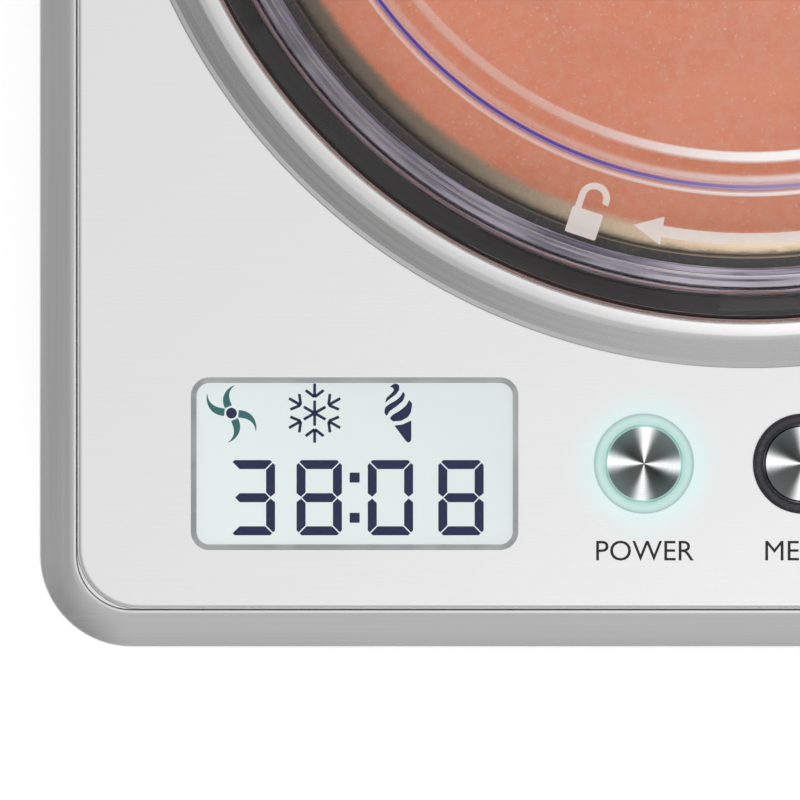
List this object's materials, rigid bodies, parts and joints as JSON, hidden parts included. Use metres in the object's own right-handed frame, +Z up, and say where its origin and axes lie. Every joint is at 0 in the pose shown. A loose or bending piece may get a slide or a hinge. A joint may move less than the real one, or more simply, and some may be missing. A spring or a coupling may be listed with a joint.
{
  "type": "ice cream maker",
  "caption": "Upright countertop ice cream maker with a built-in compressor, removable bowl and paddle, clear bayonet lid, display and push buttons.",
  "frame": {"origin": "middle of the footprint, on the surface that the feet stand on", "axes": "+Z up, front with the controls towards -Y, +X to the right of someone facing the front"},
  "size_m": [0.2758, 0.3166, 0.3643],
  "materials": {
    "plate_steel": "satin",
    "frame_steel": "satin",
    "collar_steel": "polished",
    "wrap_steel": "satin",
    "button_steel": "satin",
    "zinc_steel": "satin",
    "black_shell": "gloss",
    "screw_steel": "satin",
    "black_plastic": "matte",
    "ring_black": "gloss",
    "light_guide": "satin",
    "rubber_black": "matte",
    "seal_silicone": "satin",
    "bowl_aluminium": "satin",
    "well_aluminium": "satin",
    "wire_steel": "polished",
    "clear_plastic": "gloss",
    "paddle_plastic": "satin",
    "lens_clear": "gloss",
    "display_glass": "satin",
    "board_green": "satin",
    "parts_dark": "satin",
    "foam": "matte",
    "tub_grey": "satin",
    "copper": "satin",
    "fin_aluminium": "satin",
    "gear_nylon": "satin",
    "steel_shaft": "polished",
    "gear_case": "satin",
    "pump_iron": "matte",
    "bronze": "satin",
    "pin_brass": "polished"
  },
  "bodies": {
    "housing": {"base_tray": "black_plastic", "rubber_feet": "rubber_black", "housing_wrap": "wrap_steel", "rear_panel": "zinc_steel", "rear_panel_screws": "screw_steel", "power_inlet": "black_plastic", "inlet_pins": "pin_brass", "top_frame": "frame_steel", "top_plate": "plate_steel", "collar_ring": "collar_steel", "locking_ring": "black_plastic", "cooling_well": "well_aluminium", "evaporator_coil": "copper", "well_insulation": "foam", "insulation_tub": "tub_grey", "power_light_ring": "light_guide", "button_rings": "ring_black", "control_board": "board_green", "display_lens": "lens_clear", "display_panel": "display_glass", "gearbox_base": "gear_case", "gearbox_cover": "gear_case", "gearbox_screws": "screw_steel", "drive_motor": "zinc_steel", "shaft_bush": "bronze", "shaft_seal": "rubber_black", "compressor_grommets": "rubber_black", "compressor_bolts": "screw_steel", "compressor_lower": "black_shell", "compressor_upper": "black_shell", "pump_block": "pump_iron", "relay_cover": "black_plastic", "condenser_tube": "copper", "condenser_fins": "fin_aluminium", "condenser_bracket": "zinc_steel", "fan_frame": "black_plastic", "filter_drier": "copper", "discharge_line": "copper", "suction_line": "copper", "capillary_tube": "copper", "power_board": "board_green", "board_components": "parts_dark"},
    "bowl": {"bowl": "bowl_aluminium"},
    "bail": {"bowl_handle": "wire_steel"},
    "washer": {"thrust_washer": "gear_nylon"},
    "paddle": {"paddle": "paddle_plastic"},
    "seal": {"lid_seal": "seal_silicone"},
    "lid": {"lid": "clear_plastic"},
    "cap": {"filler_cap": "clear_plastic"},
    "output": {"output_gear": "gear_nylon", "drive_shaft": "steel_shaft"},
    "idler": {"idler_gear": "gear_nylon"},
    "pinion": {"motor_pinion": "steel_shaft"},
    "fan": {"fan_rotor": "parts_dark"},
    "power_key": {"power_button": "button_steel"},
    "menu_key": {"menu_button": "button_steel"},
    "start_key": {"start_button": "button_steel"},
    "plus_key": {"plus_button": "button_steel"},
    "minus_key": {"minus_button": "button_steel"}
  },
  "joints": [
    {"name": "bowl_lift", "type": "slide", "parent": "housing", "child": "bowl", "axis": [0, 0, 1], "range_m": [0, 0.125]},
    {"name": "bail_swing", "type": "hinge", "parent": "bowl", "child": "bail", "pos_m": [0, 0.02035, 0.323], "axis": [1, 0, 0], "range_deg": [0, 90.01]},
    {"name": "paddle_lift", "type": "slide", "parent": "bowl", "child": "washer", "axis": [0, 0, 1], "range_m": [0, 0.105]},
    {"name": "paddle_spin", "type": "hinge", "parent": "washer", "child": "paddle", "pos_m": [0, 0.02035, 0.2915], "axis": [0, 0, 1], "continuous": true},
    {"name": "lid_lift", "type": "slide", "parent": "washer", "child": "seal", "axis": [0, 0, 1], "range_m": [0, 0.19]},
    {"name": "lid_turn", "type": "hinge", "parent": "seal", "child": "lid", "pos_m": [0, 0.02035, 0.3417], "axis": [0, 0, 1], "range_deg": [0, 37]},
    {"name": "cap_lift", "type": "slide", "parent": "lid", "child": "cap", "axis": [0, 0, 1], "range_m": [0, 0.03]},
    {"name": "output_spin", "type": "hinge", "parent": "housing", "child": "output", "pos_m": [0, 0.02035, 0.177], "axis": [0, 0, 1], "continuous": true},
    {"name": "idler_spin", "type": "hinge", "parent": "housing", "child": "idler", "pos_m": [0, -0.01165, 0.177], "axis": [0, 0, 1], "continuous": true},
    {"name": "pinion_spin", "type": "hinge", "parent": "housing", "child": "pinion", "pos_m": [0, -0.04365, 0.177], "axis": [0, 0, 1], "continuous": true},
    {"name": "fan_spin", "type": "hinge", "parent": "housing", "child": "fan", "pos_m": [0.0838, 0.07415, 0.098], "axis": [1, 0, 0], "continuous": true},
    {"name": "power_press", "type": "slide", "parent": "housing", "child": "power_key", "axis": [0, 0, -1], "range_m": [0, 0.0012], "stiffness_N_per_m": 400, "springref_m": -0.002},
    {"name": "menu_press", "type": "slide", "parent": "housing", "child": "menu_key", "axis": [0, 0, -1], "range_m": [0, 0.0012], "stiffness_N_per_m": 400, "springref_m": -0.002},
    {"name": "start_press", "type": "slide", "parent": "housing", "child": "start_key", "axis": [0, 0, -1], "range_m": [0, 0.0012], "stiffness_N_per_m": 400, "springref_m": -0.002},
    {"name": "plus_press", "type": "slide", "parent": "housing", "child": "plus_key", "axis": [0, 0, -1], "range_m": [0, 0.0012], "stiffness_N_per_m": 400, "springref_m": -0.002},
    {"name": "minus_press", "type": "slide", "parent": "housing", "child": "minus_key", "axis": [0, 0, -1], "range_m": [0, 0.0012], "stiffness_N_per_m": 400, "springref_m": -0.002}
  ],
  "couplings": [
    {"joint": "bail_swing", "follows": "lid_lift", "rad_per_m": 8.2674},
    {"joint": "paddle_spin", "follows": "output_spin", "ratio": 1},
    {"joint": "idler_spin", "follows": "output_spin", "ratio": -3},
    {"joint": "pinion_spin", "follows": "output_spin", "ratio": 9}
  ]
}
